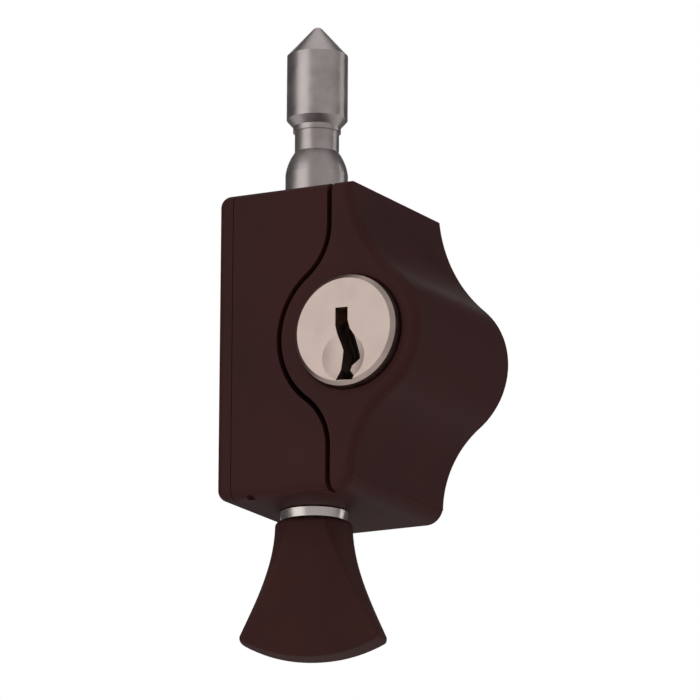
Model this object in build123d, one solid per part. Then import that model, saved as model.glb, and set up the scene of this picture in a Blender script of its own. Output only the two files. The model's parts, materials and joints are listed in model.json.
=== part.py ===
from build123d import *
import os
from math import sqrt

# A key-locking sash bolt. Millimetres, +Z up along the bolt. The origin is on the mounting face,
# behind the bolt, at half height. The front faces -Y and the cylinder boss is on the +X side.

os.makedirs("parts", exist_ok=True)

# ---- housing ----
body_height = 34.6
body_depth = 21.5
left_wall_x = -7.1          # outside of the left wall, from the bolt's axis
right_wall_top_x = 9.3      # the right wall stands further out below the boss
right_wall_bottom_x = 10.0
boss_x = 9.6                # axis of the key cylinder
boss_radius = 8.5
blend_radius_top = 17.0     # hollow curves from the straight wall into the boss
blend_radius_bottom = 11.0
corner_radius = 1.3         # left corners of the outline, seen from the front
foot_corner_radius = 2.0    # lower right corner
edge_radius = 1.2           # front edges

# ---- shared by several pieces ----
overcut = 1.0               # how far a cut runs past the face that it opens
overlap = 0.5               # how far two shapes that become one run into each other
hairline = 0.02             # gap all round a pressed or screwed piece
through = 9.0               # half length of a cut that passes right through the plug or cam
touch = 0.1                 # small step, for a lap or for telling two edges apart

# ---- front cover ----
cover_thickness = 2.0
cover_left_strip = 2.0      # housing lip left of the cover
cover_gap = 0.08
seam_x = 7.0                # middle of the groove between cover and land, above and below
seam_radius = 8.75          # the groove's circle round the cylinder
seam_blend_radius = 7.0
seam_width = 0.6
pocket_ledge = 0.8          # shelf round the pocket that the cover sits on
pocket_end_z = 14.3
land_wall = 1.9             # wall between the key plug and the pocket
leg_width = 1.2
leg_length = 4.6
leg_depth = 2.6
leg_x = -1.4                # middle of the cover's snap legs
leg_clearance = 0.15
leg_end_gap = 0.08
barb_reach = 0.35
barb_thickness = 0.7
notch_x = -2.9              # pry notch in the cover's lower edge
notch_radius = 0.45
notch_floor = 0.6           # cover left behind the notch

# ---- bolt ----
bolt_depth = 11.6           # bolt axis, in front of the mounting face
rod_radius = 3.5
tip_relief = 0.08           # the tip above the groove is a little thinner than the rod
tip_throw = 21.0           # tip above the housing when thrown
nose_length = 3.4
point_radius = 0.6          # the blunt point of the nose
point_height = 0.3
point_crown = 0.063         # drop of the point's dome at half its radius
travel = 21.0
bore_clearance = 0.07
groove_above_body = 10.2    # upper end of the visible groove, above the housing
chamfer_length = 0.85
step_cut = 0.82             # depths of the groove's parts below the rod's surface
step_length = 0.6
neck_cut = 1.02
neck_length = 2.35
flare_middle_cut = 0.3
flare_length = 2.6
flare_middle_share = 0.52   # where along the flare its middle radius lies
stem_radius = 2.4
stem_length = 11.0
collar_radius = 3.88
collar_low_radius = 3.62
collar_height = 1.2
flat_depth = 1.0            # flat along the bolt's back, for the stop pin
flat_gap = 0.05             # stop pin from the flat and its two ends
stem_chamfer = 0.4
collar_chamfer = 0.12

# ---- pull knob ----
knob_top_radius = 4.3
knob_waist_radius = 4.56
knob_waist_drop = 3.1
knob_middle_radius = 5.84
knob_middle_drop = 7.6
knob_rim_radius = 8.25
knob_rim_drop = 13.2
knob_length = 15.4
knob_turn = 18.0            # the pull stands a little askew of the front, degrees
knob_half_top = 3.95        # half thickness between the two scooped faces
knob_half_middle = 3.2
knob_half_bottom = 2.1
knob_edge_radius = 0.5
knob_middle_share = 0.45    # where down the knob its middle thickness lies
knob_base_share = 0.55      # a point of the base's arc, as shares of its radius and rise
knob_base_rise = 0.27
knob_bore_gap = 0.05
knob_bore_end = 0.3
knob_pin_radius = 0.75
knob_pin_drop = 5.0
knob_pin_length = 5.3
knob_groove_radius = 1.75
knob_pin_gap = 0.03         # pin from the foot of its groove
knob_groove_gap = 0.08      # pin from the sides of its groove
knob_pin_cover = 0.1

# ---- key plug ----
plug_radius = 6.2
plug_clearance = 0.06
plug_proud = 1.4
plug_bevel = 0.45
bore_mouth = 0.25           # chamfer round the mouth of the plug's bore
dish_radius = 2.6           # shallow dish that guides the key into the lower half of the keyway
dish_depth = 0.36
dish_z = -3.1
plug_seat_depth = 15.3      # the web that the plug's shoulder rests on, from the mounting face
web_thickness = 1.0
tail_radius = 4.4
tail_reach = 0.7            # tail beyond the web
stub_radius = 2.2
stub_half_flat = 1.6
wafer_count = 5
wafer_pitch = 1.05
wafer_thickness = 0.7
wafer_half_width = 3.5
wafer_lift = 0.8
wafer_rim_gap = 0.03
window_left = 1.3           # the wafer's window for the key, from the plug's axis
window_right = 2.1
window_low_z = -5.3
window_top_z = 1.3
window_step = 0.3           # each wafer has its own window height
wafer_front_depth = 20.5
slot_clearance = 0.08
ear_width = 1.1
ear_z = 0.7
ear_height = 0.8
ear_gap = 0.1
spring_radius = 0.37
spring_wire_radius = 0.09
spring_wire_sides = 8       # the wire's section, drawn eight-sided
spring_turns = 4
spring_foot_z = -2.0

# ---- locking mechanism ----
clip_radius = 5.3
clip_thickness = 0.34
clip_groove_depth = 0.5
clip_gap = 0.03
clip_mouth_share = 0.62     # half width of the clip's mouth, as a share of the tail's radius
cam_radius = 4.4
cam_thickness = 1.1
cam_pin_offset = 3.2
cam_pin_radius = 0.9
cam_pin_length = 1.45
cam_gap = 0.02
cam_bore_gap = 0.03
cam_head_gap = 0.05
screw_tip_gap = 0.2
pin_slot_clearance = 0.14
cam_screw_radius = 0.95
cam_screw_length = 2.2
cam_screw_head = 2.12
cam_screw_head_height = 0.5
plate_thickness = 1.2
plate_offset = 4.2          # the slide's plate, from its tongue's tip
plate_width = 5.2
plate_low_z = -4.5
slide_gap = 0.15            # slide from the cam
slide_path_gap = 0.05       # the housing from the slide's whole path
tongue_half = 0.8
tongue_back_reach = 2.8     # the tongue's back edge, behind the bolt's axis
tongue_clearance = 0.1
tongue_slot_gap = 0.2       # the back cover's slot for the tongue
chamber_radius = 7.2
chamber_left_x = 4.1
back_cover_thickness = 1.5
back_cover_lap = 0.6        # the cover's disc laps the chamber by this
spigot_wall = 1.4
running_gap = 0.08
back_screw_radius = 1.1
back_screw_head = 1.95
back_screw_length = 7.0
back_screw_point = 0.8
back_screw_z = 11.6
strip_overhang = 2.6        # the cover's strip beyond its screws
strip_margin = 1.0          # the cover's strip from the right wall

# ---- detent, stop pin and fixings ----
ball_radius = 1.5
ball_gap = 0.04
leaf_thickness = 0.35
leaf_x = -0.5               # the leaf clears the plug's wall
leaf_half_width = 1.6
leaf_low_z = -10.0
leaf_over_ball = 2.2
leaf_corner_radius = 0.6
leaf_hole_gap = 0.1
pad_height = 4.0
detent_screw_z = -8.0
detent_screw_radius = 1.0
detent_screw_head = 1.8
detent_screw_head_height = 0.85
detent_screw_bite = 0.8     # tapped depth below the pocket's floor
stop_pin_radius = 1.0
stop_pin_z = -12.0
stop_pin_reach = 4.6        # the pin's inner end, right of the bolt's axis
stop_pin_sink = 0.1         # the pin's outer end, inside the wall
fixing_radius = 1.65        # tapping hole for M4
fixing_depth = 6.0
fixing_z = 11.0

# ---- screw heads, as shares of the head ----
cone_step = 0.02
head_side_gap = 0.04
cross_reach = 0.55
cross_half = 0.1
cross_depth = 0.55
point_radius_share = 0.4
slot_half_share = 0.13
slot_depth_share = 0.45

# ---- places that follow ----
half_height = body_height / 2
front_y = -body_depth
bolt_y = -bolt_depth
lid_y = front_y + cover_thickness
tip_radius = rod_radius - tip_relief
step_radius = rod_radius - step_cut
neck_radius = rod_radius - neck_cut
bore_radius = rod_radius + bore_clearance
groove_z = half_height + groove_above_body
neck_z = groove_z - chamfer_length - step_length - neck_length / 2
lock_z = neck_z - travel                            # level of the tongue and the detent ball
collar_z = -half_height - hairline
knob_z = collar_z - collar_height - hairline
stem_end_z = collar_z - stem_length
plug_front_y = front_y - plug_proud
seat_y = -plug_seat_depth
web_back_y = seat_y + web_thickness
tail_end_y = web_back_y + tail_reach
cam_back_y = tail_end_y + cam_thickness
slide_front_y = cam_back_y + slide_gap
slide_back_y = slide_front_y + plate_thickness
tongue_back_y = bolt_y + tongue_back_reach
cam_quarter = cam_pin_offset / sqrt(2)              # the pin's offset along X and Z at both ends
slide_rest_x = 2 * cam_quarter                      # the tongue's tip from the bolt's axis, unlocked
ball_y = bolt_y - rod_radius - hairline - ball_radius
pocket_floor_y = ball_y + hairline
leaf_y = ball_y - ball_radius - hairline            # back of the leaf, on the ball
stop_pin_y = bolt_y + rod_radius - flat_depth + flat_gap + stop_pin_radius
barb_y = lid_y + leg_depth - barb_thickness
strip_left_x = chamber_left_x
strip_right_x = right_wall_top_x - strip_margin
back_screw_x = (strip_left_x + strip_right_x) / 2
knob_pin_x = knob_groove_radius + knob_pin_gap + knob_pin_radius
knob_pin_end = knob_half_middle - knob_pin_cover
detent_hole_y = pocket_floor_y + detent_screw_bite
cam_head_y = cam_back_y - cam_screw_head_height


def box(x0, x1, y0, y1, z0, z1):
    """A box between two corners, given in any order."""
    block = Box(abs(x1 - x0), abs(y1 - y0), abs(z1 - z0))
    return Pos((x0 + x1) / 2, (y0 + y1) / 2, (z0 + z1) / 2) * block


def bar_x(y, z, radius, x0, x1):
    return Pos((x0 + x1) / 2, y, z) * Rot(0, 90, 0) * Cylinder(radius, abs(x1 - x0))


def bar_y(x, z, radius, y0, y1):
    return Pos(x, (y0 + y1) / 2, z) * Rot(90, 0, 0) * Cylinder(radius, abs(y1 - y0))


def bar_z(x, y, radius, z0, z1):
    return Pos(x, y, (z0 + z1) / 2) * Cylinder(radius, abs(z1 - z0))


def slab(sketch, y0, y1):
    """A front-view sketch given thickness between two depths."""
    front, back = min(y0, y1), max(y0, y1)
    placed = Plane((0, back, 0), x_dir=(1, 0, 0), z_dir=(0, -1, 0)) * sketch
    return extrude(placed, amount=back - front, dir=(0, -1, 0))


def right_of(x):
    """A front-view field that covers everything right of x."""
    field = Rectangle(8 * boss_radius, 4 * body_height, align=(Align.MIN, Align.CENTER))
    return Pos(x, 0) * field


def turned(profile, y):
    """A solid of revolution about an upright axis from a half section of (radius, z) lines."""
    half = make_face(profile)
    return Pos(0, y, 0) * revolve(Plane.XZ * half, Axis.Z)


def one(shape):
    """The single solid that a shape should be."""
    return shape.solids().sort_by(SortBy.VOLUME)[-1]


def save(name, shape):
    shape.label = name
    export_step(shape, f"parts/{name}.step")


def blend(wall_x, radius, round_radius, limit):
    """Fills the hollow corner between an upright wall and a circle at the origin, upper side."""
    centre_x = wall_x + radius
    centre_z = sqrt((round_radius + radius) ** 2 - centre_x ** 2)
    inside = wall_x - overlap
    area = Polygon((inside, 0), (0, 0), (centre_x, centre_z), (inside, centre_z), align=None)
    area -= Pos(centre_x, centre_z) * Circle(radius)
    return area & Rectangle(8 * round_radius, 2 * limit)


def housing_outline():
    """Front view of the housing: a block, the cylinder's bulge and hollow curves between."""
    block = Rectangle(right_wall_top_x - left_wall_x, half_height, align=(Align.MIN, Align.MIN))
    block += Rectangle(right_wall_bottom_x - left_wall_x, half_height, align=(Align.MIN, Align.MAX))
    block = Pos(left_wall_x, 0) * block
    ends = [v for v in block.vertices() if abs(v.Y) > half_height - touch]
    block = fillet([v for v in ends if v.X < 0], corner_radius)
    ends = [v for v in block.vertices() if v.Y < touch - half_height]
    block = fillet(max(ends, key=lambda v: v.X), foot_corner_radius)
    upper = blend(right_wall_top_x - boss_x, blend_radius_top, boss_radius, half_height)
    lower = blend(right_wall_bottom_x - boss_x, blend_radius_bottom, boss_radius, half_height)
    bulge = Circle(boss_radius) + upper + mirror(lower, Plane.XZ)
    return block + Pos(boss_x, 0) * bulge


def housing_blank():
    """The outside of the closed lock, front cover included."""
    blank = one(slab(housing_outline(), front_y, 0))
    front = blank.faces().sort_by(Axis.Y)[0]
    return one(fillet(front.edges(), edge_radius))


def land_region(inset):
    """Front view of the land round the plug and all that is right of it, inset from the groove."""
    radius = seam_radius - inset
    edge = seam_x - boss_x + inset
    round_radius = seam_blend_radius + inset
    centre_x = edge - round_radius
    centre_z = sqrt((radius + round_radius) ** 2 - centre_x ** 2)
    web = Polygon((0, 0), (edge, centre_z), (centre_x, centre_z), align=None)
    web -= Pos(centre_x, centre_z) * Circle(round_radius)
    return Pos(boss_x, 0) * (Circle(radius) + web + mirror(web, Plane.XZ) + right_of(edge))


def pocket_region():
    """Front view of the hollow behind the front cover."""
    left = left_wall_x + cover_left_strip + pocket_ledge
    right = seam_x - seam_width / 2 - pocket_ledge
    field = Rectangle(right - left, 2 * pocket_end_z, align=(Align.MIN, Align.CENTER))
    return Pos(left, 0) * field - Pos(boss_x, 0) * Circle(plug_radius + plug_clearance + land_wall)


def back_cover_region(gap):
    """Front view of the back cover: a disc over the chamber and a strip for its two screws."""
    strip = Rectangle(strip_right_x - strip_left_x - 2 * gap, 2 * (back_screw_z + strip_overhang - gap))
    disc = Pos(boss_x, 0) * Circle(chamber_radius + back_cover_lap - gap)
    return Pos(back_screw_x, 0) * strip + (disc & right_of(strip_left_x + gap))


def countersunk(x, z, radius, head, y_face, y_end, point):
    """A countersunk screw along Y with its head's face at y_face, and a slot across it."""
    towards = 1 if y_end > y_face else -1
    drop = head - radius
    screw = bar_y(x, z, radius, y_face + towards * touch, y_end - towards * point)
    cone = Plane((x, y_face, z), z_dir=(0, towards, 0)) * Cone(
        head, radius, drop, align=(Align.CENTER, Align.CENTER, Align.MIN))
    tip = Plane((x, y_end - towards * point, z), z_dir=(0, towards, 0)) * Cone(
        radius, radius * point_radius_share, point, align=(Align.CENTER, Align.CENTER, Align.MIN))
    depth, reach, half = drop * cross_depth, head * cross_reach, head * cross_half
    cross = box(x - reach, x + reach, y_face - depth, y_face + depth, z - half, z + half)
    cross += box(x - half, x + half, y_face - depth, y_face + depth, z - reach, z + reach)
    return one(screw + cone + tip - cross)


def cheese_screw(x, z, radius, head, head_height, y_seat, y_end):
    """A flat-headed, slotted screw along Y whose head bears on y_seat."""
    out = -1 if y_end > y_seat else 1
    y_top = y_seat + out * head_height
    screw = bar_y(x, z, head, y_seat, y_top) + bar_y(x, z, radius, y_seat, y_end)
    half = head * slot_half_share
    return one(screw - box(x - head, x + head, y_top - out * head_height * slot_depth_share,
                           y_top + out * overcut, z - half, z + half))


def countersink(x, z, radius, head, y_face, into):
    """The seat that a countersunk head needs, cut into the face at y_face."""
    depth = head - radius + cone_step
    return Plane((x, y_face, z), z_dir=(0, into, 0)) * Cone(
        head + head_side_gap, radius + hairline, depth, align=(Align.CENTER, Align.CENTER, Align.MIN))


def body_casting():
    body = housing_blank()
    recess = right_of(left_wall_x + cover_left_strip) - land_region(seam_width / 2)
    body -= slab(recess, front_y - overcut, lid_y)
    body -= slab(pocket_region(), lid_y - overcut, pocket_floor_y)
    leg_half = leg_length / 2 + leg_clearance
    for end in (1, -1):                                        # undercuts for the cover's barbs
        body -= box(leg_x - leg_half, leg_x + leg_half, barb_y - touch, lid_y + leg_depth + touch,
                    end * (pocket_end_z - overcut), end * (pocket_end_z + barb_reach + leg_clearance))
    body += box(leaf_x - leaf_half_width, leaf_x + leaf_half_width, leaf_y + hairline / 2,
                pocket_floor_y + touch, leaf_low_z, leaf_low_z + pad_height)
    body -= bar_z(0, bolt_y, bore_radius, -half_height - overcut, half_height + overcut)
    body -= bar_y(0, lock_z, ball_radius + ball_gap, pocket_floor_y - overcut, bolt_y)
    body -= bar_y(leaf_x, detent_screw_z, detent_screw_radius + hairline, leaf_y - overcut, detent_hole_y)
    # the plug's bore, its wafer slots for the two key positions, and the web behind it
    body -= bar_y(boss_x, 0, plug_radius + plug_clearance, front_y - overcut, seat_y)
    body -= Plane((boss_x, front_y, 0), z_dir=(0, 1, 0)) * Cone(
        plug_radius + plug_clearance + bore_mouth, plug_radius + plug_clearance, bore_mouth,
        align=(Align.CENTER, Align.CENTER, Align.MIN))
    slot_half = wafer_half_width + 2 * slot_clearance
    slot_reach = plug_radius + wafer_lift + 2 * slot_clearance
    slot_front = -wafer_front_depth - 2 * slot_clearance
    body -= box(boss_x - slot_half, boss_x + slot_half, slot_front, seat_y, 0, slot_reach)
    body -= box(boss_x, boss_x + slot_reach, slot_front, seat_y, -slot_half, slot_half)
    body -= bar_y(boss_x, 0, tail_radius + plug_clearance, seat_y - overcut, web_back_y + overcut)
    # the cam chamber, open to the back, and the window through which the tongue meets the bolt
    chamber = Pos(boss_x, 0) * Circle(chamber_radius) & right_of(chamber_left_x)
    body -= slab(chamber, web_back_y, overcut)
    window_half = tongue_half + slide_path_gap
    rest_plate_x = slide_rest_x + plate_offset
    body -= box(0, rest_plate_x + overlap + slide_path_gap, slide_front_y - slide_path_gap,
                tongue_back_y + slide_path_gap, lock_z - window_half, lock_z + window_half)
    body -= box(plate_offset - slide_path_gap, rest_plate_x + plate_width + slide_path_gap,
                slide_front_y - slide_path_gap, slide_back_y + slide_path_gap,
                plate_low_z - slide_path_gap, lock_z + window_half)
    body -= slab(back_cover_region(0), -back_cover_thickness, overcut)
    for z in (-back_screw_z, back_screw_z):
        body -= bar_y(back_screw_x, z, back_screw_radius + hairline, -back_screw_length - screw_tip_gap, 0)
    body -= bar_x(stop_pin_y, stop_pin_z, stop_pin_radius + hairline, left_wall_x - overcut,
                  stop_pin_reach + touch)
    for z in (-fixing_z, fixing_z):
        body -= bar_y(0, z, fixing_radius, -fixing_depth, overcut)
    return one(body)


def front_cover():
    field = right_of(left_wall_x + cover_left_strip + cover_gap) - land_region(-seam_width / 2)
    cover = one(housing_blank() & slab(field, front_y - overcut, lid_y - hairline))
    leg_end = pocket_end_z - leg_end_gap
    for end in (1, -1):
        cover += box(leg_x - leg_length / 2, leg_x + leg_length / 2, lid_y - overlap, lid_y + leg_depth,
                     end * (leg_end - leg_width), end * leg_end)
        cover += box(leg_x - leg_length / 2, leg_x + leg_length / 2, barb_y, lid_y + leg_depth,
                     end * (leg_end - leg_width), end * (pocket_end_z + barb_reach))
    cover -= bar_y(notch_x, -half_height, notch_radius, front_y - overcut, lid_y - notch_floor)
    return one(cover)


def back_cover():
    cover = slab(back_cover_region(running_gap), -back_cover_thickness + hairline, 0)
    outer = Pos(boss_x, 0) * Circle(chamber_radius - running_gap) & right_of(chamber_left_x + running_gap)
    inner = Pos(boss_x, 0) * Circle(chamber_radius - spigot_wall) & right_of(chamber_left_x + spigot_wall)
    spigot = slab(outer - inner, slide_back_y + running_gap, -back_cover_thickness + overlap)
    spigot -= box(0, boss_x + 3 * boss_radius, slide_back_y - overcut, tongue_back_y + running_gap,
                  lock_z - tongue_half - tongue_slot_gap, half_height)
    cover += spigot
    for z in (-back_screw_z, back_screw_z):
        cover -= bar_y(back_screw_x, z, back_screw_radius + hairline, -body_depth, overcut)
        cover -= countersink(back_screw_x, z, back_screw_radius, back_screw_head, 0, -1)
    return one(cover)


def groove_section(top_z, upper_radius):
    """Half section of one lock groove, from its chamfer down to the end of its flare."""
    step_z = top_z - chamfer_length
    neck_top_z = step_z - step_length
    neck_low_z = neck_top_z - neck_length
    lines = Polyline((upper_radius, top_z), (step_radius, step_z), (step_radius, neck_top_z),
                     (neck_radius, neck_top_z), (neck_radius, neck_low_z))
    flare = ThreePointArc((neck_radius, neck_low_z),
                          (rod_radius - flare_middle_cut,
                           neck_low_z - flare_length * flare_middle_share),
                          (rod_radius, neck_low_z - flare_length))
    return lines, flare, neck_low_z - flare_length


def bolt():
    tip_z = half_height + tip_throw
    cone_z = tip_z - nose_length
    upper, upper_flare, upper_end = groove_section(groove_z, tip_radius)
    lower, lower_flare, lower_end = groove_section(groove_z - travel, rod_radius)
    tip = ThreePointArc((0, tip_z), (point_radius / 2, tip_z - point_crown),
                        (point_radius, tip_z - point_height))
    nose = Polyline((point_radius, tip_z - point_height), (tip_radius, cone_z), (tip_radius, groove_z))
    middle = Line((rod_radius, upper_end), (rod_radius, groove_z - travel))
    pin_z = knob_z - knob_pin_drop
    half_groove = knob_pin_radius + knob_groove_gap
    foot = Polyline(
        (rod_radius, lower_end), (rod_radius, collar_z), (stem_radius, collar_z),
        (stem_radius, pin_z + half_groove), (knob_groove_radius, pin_z + half_groove),
        (knob_groove_radius, pin_z - half_groove), (stem_radius, pin_z - half_groove),
        (stem_radius, stem_end_z + stem_chamfer), (stem_radius - stem_chamfer, stem_end_z),
        (0, stem_end_z), (0, tip_z),
    )
    shape = turned([tip, nose, upper, upper_flare, middle, lower, lower_flare, foot], bolt_y)
    flat_y = bolt_y + rod_radius - flat_depth
    flat_end = stop_pin_radius + flat_gap
    shape -= box(-rod_radius, rod_radius, flat_y, bolt_y + 2 * rod_radius,
                 stop_pin_z - flat_end, stop_pin_z + travel + flat_end)
    return one(shape)


def stop_collar():
    ring = Pos(0, bolt_y, collar_z - collar_height / 2) * Cone(collar_low_radius, collar_radius, collar_height)
    ring = chamfer(ring.edges().filter_by(GeomType.CIRCLE), collar_chamfer)
    return one(ring - bar_z(0, bolt_y, stem_radius + hairline, knob_z - overcut, collar_z + overcut))


def knob_axes(shape):
    """Turns a piece made in the pull's own axes into its place."""
    return Pos(0, bolt_y, 0) * Rot(0, 0, knob_turn) * shape


def pull_knob():
    rim_z = knob_z - knob_rim_drop
    foot_z = knob_z - knob_length
    side = Spline((knob_top_radius, knob_z), (knob_waist_radius, knob_z - knob_waist_drop),
                  (knob_middle_radius, knob_z - knob_middle_drop), (knob_rim_radius, rim_z))
    base = ThreePointArc((knob_rim_radius, rim_z),
                         (knob_rim_radius * knob_base_share,
                          foot_z + (knob_length - knob_rim_drop) * knob_base_rise),
                         (0, foot_z))
    bell = turned([Line((0, knob_z), (knob_top_radius, knob_z)), side, base,
                   Line((0, foot_z), (0, knob_z))], 0)
    middle_z = knob_z - knob_length * knob_middle_share
    faces = []
    for s in (1, -1):
        faces.append(ThreePointArc((s * knob_half_top, knob_z), (s * knob_half_middle, middle_z),
                                   (s * knob_half_bottom, foot_z)))
    top = Line((-knob_half_top, knob_z), (knob_half_top, knob_z))
    base = Line((-knob_half_bottom, foot_z), (knob_half_bottom, foot_z))
    section = make_face([faces[0], faces[1], top, base])
    keep = extrude(Plane.YZ * section, amount=2 * knob_rim_radius, both=True)
    knob = one(bell & keep)
    knob = one(fillet(knob.edges(), knob_edge_radius))
    knob -= bar_z(0, 0, stem_radius + knob_bore_gap, stem_end_z - knob_bore_end, knob_z + overcut)
    pin_z = knob_z - knob_pin_drop
    knob -= bar_y(knob_pin_x, pin_z, knob_pin_radius + hairline / 2, knob_pin_end - knob_pin_length - touch,
                  2 * knob_half_top)
    return one(knob_axes(knob))


def knob_pin():
    return one(knob_axes(bar_y(knob_pin_x, knob_z - knob_pin_drop, knob_pin_radius,
                               knob_pin_end - knob_pin_length, knob_pin_end)))


def keyway():
    """Section of the keyway, seen from the front, from the plug's axis."""
    return Polygon(
        (-1.0, 2.5), (0.52, 2.45), (0.52, 1.0), (0.8, 0.0), (1.4, -0.85), (1.7, -2.0),
        (2.0, -3.1), (2.0, -3.5), (1.0, -4.15), (0.8, -4.7), (1.35, -5.35), (1.1, -5.75),
        (-0.9, -5.65), (-0.4, -4.55), (-0.25, -3.2), (-0.15, -2.3), (-0.8, -0.3), (-1.0, 0.5),
        align=None,
    )


def wafer_y(index):
    """Middle of a wafer, counted from the front."""
    return -wafer_front_depth + wafer_thickness / 2 + index * wafer_pitch


def lock_plug():
    plug = bar_y(boss_x, 0, plug_radius, plug_front_y, seat_y - hairline)
    front = plug.faces().sort_by(Axis.Y)[0]
    plug = chamfer(front.edges(), plug_bevel)
    plug += bar_y(boss_x, 0, tail_radius, seat_y - overcut, tail_end_y)
    clip_y = web_back_y + 2 * clip_gap
    ring = bar_y(boss_x, 0, tail_radius + overcut, clip_y, clip_y + clip_thickness + 2 * clip_gap)
    plug -= ring - bar_y(boss_x, 0, tail_radius - clip_groove_depth, seat_y, tail_end_y)
    stub = bar_y(boss_x, 0, stub_radius, tail_end_y - overlap, cam_head_y - hairline)
    stub = stub & box(boss_x - stub_half_flat, boss_x + stub_half_flat, seat_y, 0, -through, through)
    plug += stub
    dish_curve = (dish_radius ** 2 + dish_depth ** 2) / (2 * dish_depth)
    plug -= Pos(boss_x, plug_front_y + dish_depth - dish_curve, dish_z) * Sphere(dish_curve)
    plug -= slab(Pos(boss_x, 0) * keyway(), plug_front_y - overcut, wafer_y(wafer_count - 1))
    half_slot = wafer_thickness / 2 + slot_clearance / 2
    half_width = wafer_half_width + slot_clearance
    ear_x = boss_x + wafer_half_width
    for k in range(wafer_count):
        y = wafer_y(k)
        plug -= box(boss_x - half_width, boss_x + half_width, y - half_slot, y + half_slot,
                    -through, through)
        plug -= box(ear_x, ear_x + ear_width + 2 * ear_gap, y - half_slot, y + half_slot,
                    spring_foot_z - hairline, ear_z + ear_height + wafer_lift + ear_gap)
    plug -= bar_y(boss_x, 0, cam_screw_radius + hairline, cam_head_y - cam_screw_length - screw_tip_gap, 0)
    return one(plug)


def wafer(index):
    y = wafer_y(index)
    half = wafer_thickness / 2
    plate = bar_y(boss_x, 0, plug_radius - wafer_rim_gap, y - half, y + half)
    plate = plate & box(boss_x - wafer_half_width, boss_x + wafer_half_width, y - half, y + half,
                        -through, through)
    ear_x = boss_x + wafer_half_width
    plate += box(ear_x - overlap, ear_x + ear_width, y - half, y + half, ear_z, ear_z + ear_height)
    window_top = window_top_z + window_step * (index * 2 % wafer_count)
    plate -= box(boss_x - window_left, boss_x + window_right, y - overcut, y + overcut,
                 window_low_z, window_top)
    return one(plate)


def wafer_spring(index):
    x = boss_x + wafer_half_width + ear_width / 2 + ear_gap
    low = spring_foot_z + spring_wire_radius + hairline
    high = ear_z - spring_wire_radius - hairline
    path = Helix((high - low) / spring_turns, high - low, spring_radius - spring_wire_radius)
    start = Plane(path @ 0, z_dir=path % 0)
    wire = RegularPolygon(spring_wire_radius, spring_wire_sides)
    coil = sweep(start * wire, path, is_frenet=True)
    return one(Pos(x, wafer_y(index), low) * coil)


def plug_clip():
    y = web_back_y + 3 * clip_gap
    ring = bar_y(boss_x, 0, clip_radius, y, y + clip_thickness)
    ring -= bar_y(boss_x, 0, tail_radius - clip_groove_depth + clip_gap, y - overcut, y + overcut)
    half = tail_radius * clip_mouth_share
    return one(ring - box(boss_x - half, boss_x + half, y - overcut, y + overcut, 0, 2 * clip_radius))


def lock_cam():
    front = tail_end_y + cam_gap
    cam = bar_y(boss_x, 0, cam_radius, front, cam_back_y)
    hole = bar_y(boss_x, 0, stub_radius + cam_bore_gap, front - overcut, cam_back_y + overcut)
    flat = stub_half_flat + cam_bore_gap
    cam -= hole & box(boss_x - flat, boss_x + flat, front - overcut, cam_back_y + overcut,
                      -through, through)
    cam -= bar_y(boss_x, 0, cam_screw_head + cam_head_gap, cam_head_y - hairline, cam_back_y + overcut)
    cam += bar_y(boss_x + cam_quarter, -cam_quarter, cam_pin_radius, cam_back_y - overlap,
                 cam_back_y + cam_pin_length)
    return one(cam)


def locking_slide():
    tip_x = slide_rest_x
    plate_x = tip_x + plate_offset
    slide = box(plate_x, plate_x + plate_width, slide_front_y, slide_back_y,
                plate_low_z, lock_z + tongue_half)
    slide += box(tip_x, plate_x + overlap, slide_front_y, tongue_back_y,
                 lock_z - tongue_half, lock_z + tongue_half)
    slide -= bar_z(tip_x, bolt_y, neck_radius + tongue_clearance,
                   lock_z - tongue_half - overcut, lock_z + tongue_half + overcut)
    slot_x = boss_x + cam_quarter
    slot_half = cam_pin_radius + pin_slot_clearance
    slide -= box(slot_x - slot_half, slot_x + slot_half, slide_front_y - overcut, slide_back_y + overcut,
                 -cam_pin_offset, -cam_quarter)
    for z in (-cam_pin_offset, -cam_quarter):
        slide -= bar_y(slot_x, z, slot_half, slide_front_y - overcut, slide_back_y + overcut)
    return one(slide)


def detent_leaf():
    front = leaf_y - leaf_thickness
    leaf = box(leaf_x - leaf_half_width, leaf_x + leaf_half_width, front, leaf_y,
               leaf_low_z, lock_z + leaf_over_ball)
    leaf = fillet(leaf.edges().filter_by(Axis.Y), leaf_corner_radius)
    hole_radius = detent_screw_radius + leaf_hole_gap
    return one(leaf - bar_y(leaf_x, detent_screw_z, hole_radius, front - overcut, 0))


save("body_casting", body_casting())
save("front_cover", front_cover())
save("back_cover", back_cover())
back_screws = [
    countersunk(back_screw_x, z, back_screw_radius, back_screw_head, -hairline, -back_screw_length,
                back_screw_point)
    for z in (-back_screw_z, back_screw_z)
]
save("back_cover_screws", Compound(back_screws))
save("bolt", bolt())
save("stop_collar", stop_collar())
save("pull_knob", pull_knob())
save("knob_pin", knob_pin())
save("stop_pin", one(bar_x(stop_pin_y, stop_pin_z, stop_pin_radius, left_wall_x + stop_pin_sink,
                           stop_pin_reach)))
save("detent_ball", one(Pos(0, ball_y, lock_z) * Sphere(ball_radius)))
save("detent_leaf", detent_leaf())
save("detent_screw", cheese_screw(leaf_x, detent_screw_z, detent_screw_radius, detent_screw_head,
                                  detent_screw_head_height, leaf_y - leaf_thickness - hairline / 2,
                                  detent_hole_y - touch))
save("lock_plug", lock_plug())
save("plug_clip", plug_clip())
save("lock_cam", lock_cam())
save("cam_screw", cheese_screw(boss_x, 0, cam_screw_radius, cam_screw_head, cam_screw_head_height,
                               cam_head_y, cam_head_y - cam_screw_length))
save("locking_slide", locking_slide())
for k in range(wafer_count):
    save(f"wafer_{k + 1}", wafer(k))
    save(f"wafer_spring_{k + 1}", wafer_spring(k))
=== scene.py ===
import json
import math

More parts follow.
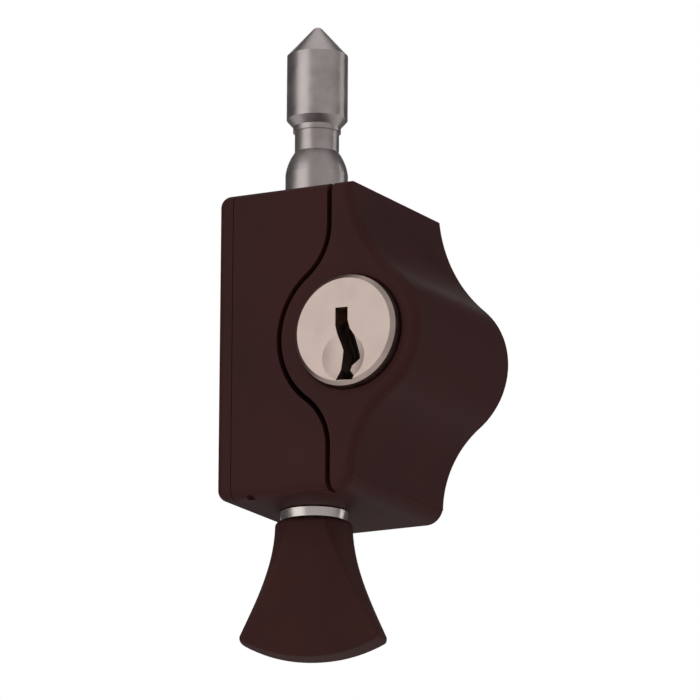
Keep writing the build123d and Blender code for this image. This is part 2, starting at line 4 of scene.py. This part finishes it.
import bpy
import numpy as np
from mathutils import Matrix, Vector


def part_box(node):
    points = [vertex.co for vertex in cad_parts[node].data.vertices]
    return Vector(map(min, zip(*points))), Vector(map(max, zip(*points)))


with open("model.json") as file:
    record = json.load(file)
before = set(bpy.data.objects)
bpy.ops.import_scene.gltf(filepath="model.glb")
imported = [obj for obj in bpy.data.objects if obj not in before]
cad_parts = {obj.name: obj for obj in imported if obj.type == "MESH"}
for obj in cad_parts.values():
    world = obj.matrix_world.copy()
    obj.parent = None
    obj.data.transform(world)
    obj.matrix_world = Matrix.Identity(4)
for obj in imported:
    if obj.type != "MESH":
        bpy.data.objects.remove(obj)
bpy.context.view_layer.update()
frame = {"nodes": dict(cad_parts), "record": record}
nodes = frame["nodes"]
mm = 0.001
cloudSpan = (0.3, 0.7)   # the part of a noise's range that its clouds really use
print("frame loaded:", len(nodes), "nodes")

boltLow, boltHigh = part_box("bolt")
boltAxis = Vector(((boltLow.x + boltHigh.x) / 2, (boltLow.y + boltHigh.y) / 2, 0))
plugLow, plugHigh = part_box("lock_plug")
plugAxis = Vector(((plugLow.x + plugHigh.x) / 2, plugLow.y, (plugLow.z + plugHigh.z) / 2))


def linear(hexColour):
    # sRGB to linear light: c / 12.92 up to 0.04045, and ((c + 0.055) / 1.055) ** 2.4 above it
    srgb = [int(hexColour[i:i + 2], 16) / 255 for i in (1, 3, 5)]
    return tuple(c / 12.92 if c <= 0.04045 else ((c + 0.055) / 1.055) ** 2.4 for c in srgb) + (1.0,)


def addNode(tree, kind, settings=None, values=None, links=None):
    # one node: its settings, its socket values, and its links as socket: (node, output)
    node = tree.nodes.new(kind)
    for name, value in (settings or {}).items():
        setattr(node, name, value)
    for name, value in (values or {}).items():
        node.inputs[name].default_value = value
    for name, (source, output) in (links or {}).items():
        tree.links.new(source.outputs[output], node.inputs[name])
    return node


def startFinish(name, values):
    # an empty material with its shader, and the coordinates that all of its patterns read
    material = bpy.data.materials.new(name)
    material.use_nodes = True
    tree = material.node_tree
    tree.nodes.clear()
    shader = addNode(tree, "ShaderNodeBsdfPrincipled", values=values)
    addNode(tree, "ShaderNodeOutputMaterial", links={"Surface": (shader, "BSDF")})
    place = addNode(tree, "ShaderNodeTexCoord")
    return material, tree, shader, place


def drive(tree, source, output, shader, socket):
    # one pattern's output into one of the shader's sockets
    tree.links.new(source.outputs[output], shader.inputs[socket])


def mottle(tree, place, grain, shades, detail=3.0):
    # cloudy colour between two shades, with clouds about grain metres across
    cloud = addNode(tree, "ShaderNodeTexNoise", values={"Scale": 1 / grain, "Detail": detail},
                    links={"Vector": (place, "Object")})
    ramp = addNode(tree, "ShaderNodeValToRGB", links={"Fac": (cloud, "Fac")})
    for stop, position, shade in zip(ramp.color_ramp.elements, cloudSpan, shades):
        stop.position = position
        stop.color = linear(shade)
    return ramp, cloud


def gloss(tree, cloud, low, high):
    # roughness that follows a cloud pattern
    return addNode(tree, "ShaderNodeMapRange", values={
        "From Min": cloudSpan[0], "From Max": cloudSpan[1], "To Min": low, "To Max": high},
        links={"Value": (cloud, "Fac")})


powderCoat = {
    "shades": ("#311716", "#391B19"),   # dark brown, with the faint clouds of a sprayed film
    "cloudSize": 9 * mm,
    "roughness": (0.50, 0.58),
    "peelSize": 0.55 * mm,              # orange peel of a stoved film
    "peelDepth": 0.006 * mm,
    "specular": 0.10,
}


def makePowderCoat():
    # polyester powder coat on a zinc die casting: dull brown, low sheen, a fine orange peel
    spec = powderCoat
    material, tree, shader, place = startFinish("stovedBrownPowderCoat", {
        "Specular IOR Level": spec["specular"]})
    ramp, cloud = mottle(tree, place, spec["cloudSize"], spec["shades"])
    drive(tree, ramp, "Color", shader, "Base Color")
    drive(tree, gloss(tree, cloud, *spec["roughness"]), "Result", shader, "Roughness")
    peel = addNode(tree, "ShaderNodeTexNoise", values={"Scale": 1 / spec["peelSize"], "Detail": 1.5},
                   links={"Vector": (place, "Object")})
    bump = addNode(tree, "ShaderNodeBump", values={"Distance": spec["peelDepth"], "Strength": 1.0},
                   links={"Height": (peel, "Fac")})
    drive(tree, bump, "Normal", shader, "Normal")
    return material


brownNylon = {
    "shades": ("#331A18", "#3A1E1B"),
    "cloudSize": 7 * mm,
    "roughness": (0.50, 0.58),
    "sparkSize": 0.28 * mm,             # spark-eroded mould, drawn a little coarser than it is
    "sparkDepth": 0.004 * mm,
    "specular": 0.10,
}


def makeBrownNylon():
    # glass-filled nylon, injection moulded: the pull, a shade duller than the housing
    spec = brownNylon
    material, tree, shader, place = startFinish("mouldedBrownNylon", {
        "Specular IOR Level": spec["specular"]})
    ramp, cloud = mottle(tree, place, spec["cloudSize"], spec["shades"])
    drive(tree, ramp, "Color", shader, "Base Color")
    drive(tree, gloss(tree, cloud, *spec["roughness"]), "Result", shader, "Roughness")
    spark = addNode(tree, "ShaderNodeTexVoronoi", values={"Scale": 1 / spec["sparkSize"]},
                    links={"Vector": (place, "Object")})
    bump = addNode(tree, "ShaderNodeBump", values={"Distance": spec["sparkDepth"], "Strength": 1.0},
                   links={"Height": (spark, "Distance")})
    drive(tree, bump, "Normal", shader, "Normal")
    return material


def turnedRings(tree, place, centre, axis, pitch, wander):
    # a wave that repeats every pitch along Z ("BANDS") or outwards from Y through centre ("RINGS")
    moved = addNode(tree, "ShaderNodeMapping", values={"Location": tuple(-c for c in centre)},
                    links={"Vector": (place, "Object")})
    settings = {"wave_type": axis, "bands_direction": "Z", "rings_direction": "Y"}
    # Blender's wave has 20 / (2 pi) cycles per unit at a scale of 1
    return addNode(tree, "ShaderNodeTexWave", settings, {"Scale": 2 * math.pi / (20 * pitch),
                   "Distortion": wander, "Detail": 1.0, "Detail Scale": 2.0}, {"Vector": (moved, "Vector")})


def makeTurnedMetal(name, spec, centre, axis):
    # bar turned on a lathe: metal, with fine tool rings and the scuffs of tumbling or handling
    material, tree, shader, place = startFinish(name, {"Metallic": 1.0})
    ramp, cloud = mottle(tree, place, spec["cloudSize"], spec["shades"])
    drive(tree, ramp, "Color", shader, "Base Color")
    drive(tree, gloss(tree, cloud, *spec["roughness"]), "Result", shader, "Roughness")
    rings = turnedRings(tree, place, centre, axis, spec["toolPitch"], spec["wander"])
    scuffs = addNode(tree, "ShaderNodeTexNoise", values={"Scale": 1 / spec["scuffSize"], "Detail": 4.0},
                     links={"Vector": (place, "Object")})
    cut = addNode(tree, "ShaderNodeBump", values={"Distance": spec["toolDepth"], "Strength": 1.0},
                  links={"Height": (rings, "Fac")})
    worn = addNode(tree, "ShaderNodeBump", values={"Distance": spec["scuffDepth"], "Strength": 1.0},
                   links={"Height": (scuffs, "Fac"), "Normal": (cut, "Normal")})
    drive(tree, worn, "Normal", shader, "Normal")
    return material


tumbledSteel = {                        # the bolt: zinc-plated bar, tumbled to a pinkish satin grey
    "shades": ("#A39A99", "#BAB1AF"), "cloudSize": 2.4 * mm, "roughness": (0.30, 0.40),
    "toolPitch": 0.22 * mm, "toolDepth": 0.0012 * mm, "wander": 0.6,
    "scuffSize": 0.35 * mm, "scuffDepth": 0.004 * mm,
}
brightSteel = {                         # the collar: bright-turned ring
    "shades": ("#C2B9B4", "#D0C7C2"), "cloudSize": 2.0 * mm, "roughness": (0.22, 0.30),
    "toolPitch": 0.16 * mm, "toolDepth": 0.0010 * mm, "wander": 0.3,
    "scuffSize": 0.4 * mm, "scuffDepth": 0.002 * mm,
}
satinNickel = {                         # the plug: faced brass under a warm satin nickel plate
    "shades": ("#AE9C94", "#B9A89F"), "cloudSize": 2.6 * mm, "roughness": (0.30, 0.36),
    "toolPitch": 0.20 * mm, "toolDepth": 0.0003 * mm, "wander": 0.3,
    "scuffSize": 0.45 * mm, "scuffDepth": 0.001 * mm,
}


def makePlainMetal(name, spec):
    # small plated, sprung or stamped metal parts: clouded colour and a light grain
    material, tree, shader, place = startFinish(name, {"Metallic": 1.0})
    ramp, cloud = mottle(tree, place, spec["cloudSize"], spec["shades"])
    drive(tree, ramp, "Color", shader, "Base Color")
    drive(tree, gloss(tree, cloud, *spec["roughness"]), "Result", shader, "Roughness")
    stretch = addNode(tree, "ShaderNodeMapping", values={"Scale": spec["grainStretch"]},
                      links={"Vector": (place, "Object")})
    grain = addNode(tree, "ShaderNodeTexNoise", values={"Scale": 1 / spec["grainSize"], "Detail": 3.0},
                    links={"Vector": (stretch, "Vector")})
    bump = addNode(tree, "ShaderNodeBump", values={"Distance": spec["grainDepth"], "Strength": 1.0},
                   links={"Height": (grain, "Fac")})
    drive(tree, bump, "Normal", shader, "Normal")
    return material


zincPlate = {                           # bright zinc with a faint blue passivation
    "shades": ("#B9BEC4", "#D3D2CB"), "cloudSize": 1.5 * mm, "roughness": (0.28, 0.38),
    "grainSize": 0.2 * mm, "grainDepth": 0.002 * mm, "grainStretch": (1, 1, 1),
}
springSteel = {                         # bare rolled spring strip and wire, grain along its length
    "shades": ("#6B6A6E", "#85858A"), "cloudSize": 1.2 * mm, "roughness": (0.25, 0.36),
    "grainSize": 0.25 * mm, "grainDepth": 0.002 * mm, "grainStretch": (1, 1, 0.15),
}
stampedBrass = {                        # stamped brass wafers, dark with age and old graphite
    "shades": ("#4A3424", "#5E432D"), "cloudSize": 1.4 * mm, "roughness": (0.36, 0.48),
    "grainSize": 0.2 * mm, "grainDepth": 0.0015 * mm, "grainStretch": (1, 1, 0.2),
}
blackNylon = {
    "shades": ("#17171A", "#212124"), "cloudSize": 4 * mm, "roughness": (0.46, 0.55),
    "sparkSize": 0.3 * mm, "sparkDepth": 0.006 * mm, "specular": 0.4,
}


def makeBlackNylon():
    # black nylon, injection moulded in a lightly etched tool
    spec = blackNylon
    material, tree, shader, place = startFinish("mouldedBlackNylon", {
        "Specular IOR Level": spec["specular"]})
    ramp, cloud = mottle(tree, place, spec["cloudSize"], spec["shades"])
    drive(tree, ramp, "Color", shader, "Base Color")
    drive(tree, gloss(tree, cloud, *spec["roughness"]), "Result", shader, "Roughness")
    etch = addNode(tree, "ShaderNodeTexNoise", values={"Scale": 1 / spec["sparkSize"], "Detail": 2.0},
                   links={"Vector": (place, "Object")})
    bump = addNode(tree, "ShaderNodeBump", values={"Distance": spec["sparkDepth"], "Strength": 1.0},
                   links={"Height": (etch, "Fac")})
    drive(tree, bump, "Normal", shader, "Normal")
    return material


finishes = {
    "brown_powder_coat": makePowderCoat(),
    "brown_moulding": makeBrownNylon(),
    "satin_steel": makeTurnedMetal("tumbledTurnedSteel", tumbledSteel, boltAxis, "BANDS"),
    "bright_steel": makeTurnedMetal("brightTurnedSteel", brightSteel, boltAxis, "BANDS"),
    "nickel_plate": makeTurnedMetal("facedSatinNickel", satinNickel, plugAxis, "RINGS"),
    "plated_steel": makePlainMetal("brightZincPlate", zincPlate),
    "spring_steel": makePlainMetal("rolledSpringSteel", springSteel),
    "wafer_brass": makePlainMetal("stampedBrass", stampedBrass),
    "black_nylon": makeBlackNylon(),
}
for part in frame["record"]["subparts"]:
    piece = nodes[part["node"]]
    piece.data.materials.clear()
    piece.data.materials.append(finishes[part["material_slot"]])
print("finishes made:", len(finishes))


def direction(azimuth, elevation):
    # unit vector from the object: azimuth 0 is straight in front (-Y) and grows towards +X
    a, e = math.radians(azimuth), math.radians(elevation)
    return Vector((math.sin(a) * math.cos(e), -math.cos(a) * math.cos(e), math.sin(e)))


cameraPlace = {
    "azimuth": 28.3, "elevation": -13.65, "roll": 0.38,     # degrees
    "distance": 800 * mm, "lens": 371.1,                    # a long lens, in its usual 36 mm terms
    "aimRight": 3.84 * mm, "aimUp": 1.13 * mm,              # where it points, from the bolt's axis
    "clip": (0.01, 20),
}


def makeCamera():
    spec = cameraPlace
    back = direction(spec["azimuth"], spec["elevation"])
    right = Vector((0, 0, 1)).cross(back).normalized()
    up = back.cross(right)
    roll = math.radians(spec["roll"])
    rolledRight = math.cos(roll) * right + math.sin(roll) * up
    rolledUp = back.cross(rolledRight)
    camera = bpy.data.objects.new("camera", bpy.data.cameras.new("camera"))
    camera.data.lens = spec["lens"]
    camera.data.clip_start, camera.data.clip_end = spec["clip"]
    turn = Matrix((rolledRight, rolledUp, back)).transposed().to_4x4()
    camera.matrix_world = Matrix.Translation(
        boltAxis + spec["distance"] * back + spec["aimRight"] * right + spec["aimUp"] * up) @ turn
    bpy.context.scene.collection.objects.link(camera)
    bpy.context.scene.camera = camera


studio = {
    "floorDrop": 1.3, "floorRadius": 3.2, "wallRadius": 2.4, "wallLow": 0.15, "wallTop": 1.6,
    "wallHalfAngle": 17.0, "paperWhite": "#F4F4F4", "floorGrey": "#EDEDED", "floorShare": 0.8,
    # the room's light on matt surfaces, and what a mirror sees of it in front and behind; the change
    # runs over roomTurn, the cosine of the angle from the camera's side
    "roomDiffuse": 0.74, "roomFront": 0.54, "roomBack": 0.09, "roomTurn": (-0.35, 0.55),
    # name: azimuth, elevation, distance, width, height, brightness (1 shows as white in a mirror)
    "softboxes": {
        "keyLight": (-28, 8, 1.3, 1.1, 1.7, 0.8),
        "rightStrip": (134, 0, 1.3, 0.25, 1.7, 1.6),
        "topLight": (208, 72, 1.3, 0.9, 0.9, 0.8),
    },
}


def gridMesh(name, points):
    # a sheet through a rows x columns x 3 array of points, as quads between neighbours
    rows, columns = points.shape[:2]
    index = np.arange(rows * columns).reshape(rows, columns)
    quads = np.stack([index[:-1, :-1], index[:-1, 1:], index[1:, 1:], index[1:, :-1]], -1).reshape(-1, 4)
    mesh = bpy.data.meshes.new(name)
    mesh.from_pydata(points.reshape(-1, 3).tolist(), [], quads.tolist())
    mesh.polygons.foreach_set("use_smooth", np.ones(len(quads), bool))
    return mesh


def makePaper(name, colour, share, rayKinds):
    # matt paper that also shows a share of plain white to the kinds of ray named
    paper = bpy.data.materials.new(name)
    paper.use_nodes = True
    tree = paper.node_tree
    tree.nodes.clear()
    matt = addNode(tree, "ShaderNodeBsdfDiffuse", values={"Color": linear(colour)})
    glow = addNode(tree, "ShaderNodeEmission", values={"Strength": 1.0})
    rays = addNode(tree, "ShaderNodeLightPath")
    seen = rays
    output = rayKinds[0]
    for kind in rayKinds[1:]:
        seen = addNode(tree, "ShaderNodeMath", {"operation": "MAXIMUM"},
                       links={0: (seen, output), 1: (rays, kind)})
        output = "Value"
    part = addNode(tree, "ShaderNodeMath", {"operation": "MULTIPLY"}, {1: share}, {0: (seen, output)})
    mix = addNode(tree, "ShaderNodeMixShader", links={"Fac": (part, "Value"), 1: (matt, "BSDF"),
                                                      2: (glow, "Emission")})
    addNode(tree, "ShaderNodeOutputMaterial", links={"Surface": (mix, "Shader")})
    return paper


def makeStudio():
    spec = studio
    wallPaper = makePaper("whitePaper", spec["paperWhite"], 1.0,
                          ["Is Camera Ray", "Is Glossy Ray", "Is Transmission Ray"])
    floorPaper = makePaper("paleFloor", spec["floorGrey"], spec["floorShare"],
                           ["Is Camera Ray", "Is Transmission Ray"])

    # the floor: radius r and angle t give (r cos t, r sin t) at one height
    r, t = np.meshgrid(np.linspace(0.02, spec["floorRadius"], 8), np.linspace(0, 2 * math.pi, 65))
    disc = np.stack([r * np.cos(t), r * np.sin(t), np.full_like(r, -spec["floorDrop"])], -1)
    floor = bpy.data.objects.new("floor", gridMesh("floor", disc))
    floor.data.materials.append(floorPaper)
    # the wall: angle t about the camera's far side and height z give a part of a cylinder
    middle = math.radians(cameraPlace["azimuth"] + 180)
    half = math.radians(spec["wallHalfAngle"])
    t, z = np.meshgrid(np.linspace(middle - half, middle + half, 33),
                       np.linspace(spec["wallLow"], spec["wallTop"], 9))
    bend = np.stack([spec["wallRadius"] * np.sin(t), -spec["wallRadius"] * np.cos(t), z], -1)
    wall = bpy.data.objects.new("backdrop", gridMesh("backdrop", bend))
    wall.data.materials.append(wallPaper)
    for thing in (floor, wall):
        bpy.context.scene.collection.objects.link(thing)

    for name, (azimuth, elevation, distance, width, height, brightness) in spec["softboxes"].items():
        lamp = bpy.data.lights.new(name, "AREA")
        lamp.shape, lamp.size, lamp.size_y = "RECTANGLE", width, height
        lamp.energy = brightness * math.pi * width * height
        holder = bpy.data.objects.new(name, lamp)
        holder.visible_camera = False
        towards = direction(azimuth, elevation)
        holder.location = boltAxis + distance * towards
        holder.rotation_mode = "QUATERNION"
        holder.rotation_quaternion = towards.to_track_quat("Z", "Y")
        bpy.context.scene.collection.objects.link(holder)


def makeWorld():
    # white to the camera and through glass; to the object, a room that is light in front and dim behind
    world = bpy.data.worlds.new("studioRoom")
    world.use_nodes = True
    tree = world.node_tree
    tree.nodes.clear()
    rays = addNode(tree, "ShaderNodeLightPath")
    look = addNode(tree, "ShaderNodeTexCoord")
    facing = addNode(tree, "ShaderNodeVectorMath", {"operation": "DOT_PRODUCT"},
                     links={0: (look, "Generated")})
    facing.inputs[1].default_value = direction(cameraPlace["azimuth"], 0)
    mirror = addNode(tree, "ShaderNodeMapRange", {"interpolation_type": "SMOOTHSTEP"}, {
        "From Min": studio["roomTurn"][0], "From Max": studio["roomTurn"][1],
        "To Min": studio["roomBack"], "To Max": studio["roomFront"]},
        {"Value": (facing, "Value")})
    level = addNode(tree, "ShaderNodeMapRange", values={"To Min": studio["roomDiffuse"]},
                    links={"Value": (rays, "Is Glossy Ray"), "To Max": (mirror, "Result")})
    room = addNode(tree, "ShaderNodeBackground", values={"Color": (1, 1, 1, 1)},
                   links={"Strength": (level, "Result")})
    white = addNode(tree, "ShaderNodeBackground", values={"Color": (1, 1, 1, 1), "Strength": 1.0})
    seen = addNode(tree, "ShaderNodeMath", {"operation": "MAXIMUM"},
                   links={0: (rays, "Is Camera Ray"), 1: (rays, "Is Transmission Ray")})
    mix = addNode(tree, "ShaderNodeMixShader", links={"Fac": (seen, "Value"), 1: (room, "Background"),
                                                      2: (white, "Background")})
    addNode(tree, "ShaderNodeOutputWorld", links={"Surface": (mix, "Shader")})
    bpy.context.scene.world = world


makeCamera()
makeStudio()
makeWorld()
bpy.context.scene.view_settings.view_transform = "Standard"
print("camera and studio ready")
